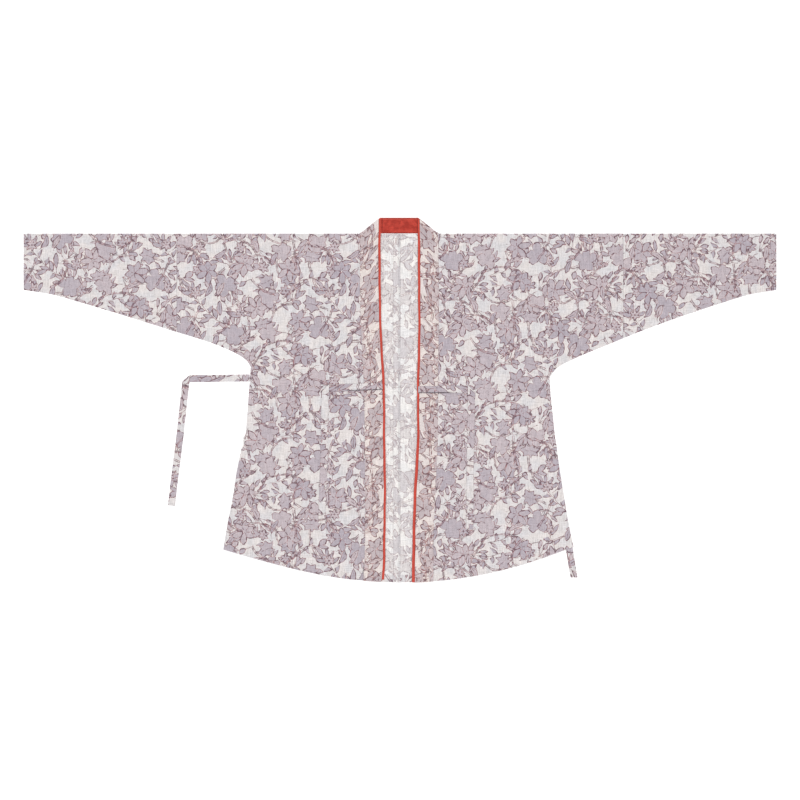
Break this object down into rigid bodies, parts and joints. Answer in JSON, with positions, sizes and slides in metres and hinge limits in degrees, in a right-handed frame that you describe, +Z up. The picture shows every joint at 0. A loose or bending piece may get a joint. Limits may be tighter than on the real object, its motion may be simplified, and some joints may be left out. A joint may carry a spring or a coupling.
{
  "type": "hanfu jacket laid flat",
  "caption": "Open-front hanfu jacket with a straight collar, long sleeves and cloth ties, laid flat and face up.",
  "frame": {"origin": "centre of the bounding box, on the surface that the jacket lies on", "axes": "+X along the sleeves towards the wearer's left cuff, +Y from the hem to the neck, +Z up from the surface"},
  "size_m": [1.8, 0.8738, 0.0064],
  "materials": {
    "printed_cloth": "matt plain-weave cotton with a small leaf and blossom print",
    "collar_cloth": "matt plain-weave cotton, the same print on a warmer ground",
    "wrong_side": "the cloth's pale wrong side, with the print showing faintly through",
    "red_cloth": "matt plain red cotton"
  },
  "bodies": {
    "root": {"body_right": "printed_cloth", "body_left": "printed_cloth", "sleeve_right": "printed_cloth", "sleeve_left": "printed_cloth", "centre_seam_allowance": "wrong_side", "collar_band": "collar_cloth", "collar_facing": "red_cloth", "tie_front_right": "printed_cloth", "tie_front_left": "printed_cloth", "tie_side_right": "printed_cloth", "tie_inner_left": "printed_cloth"}
  },
  "joints": []
}
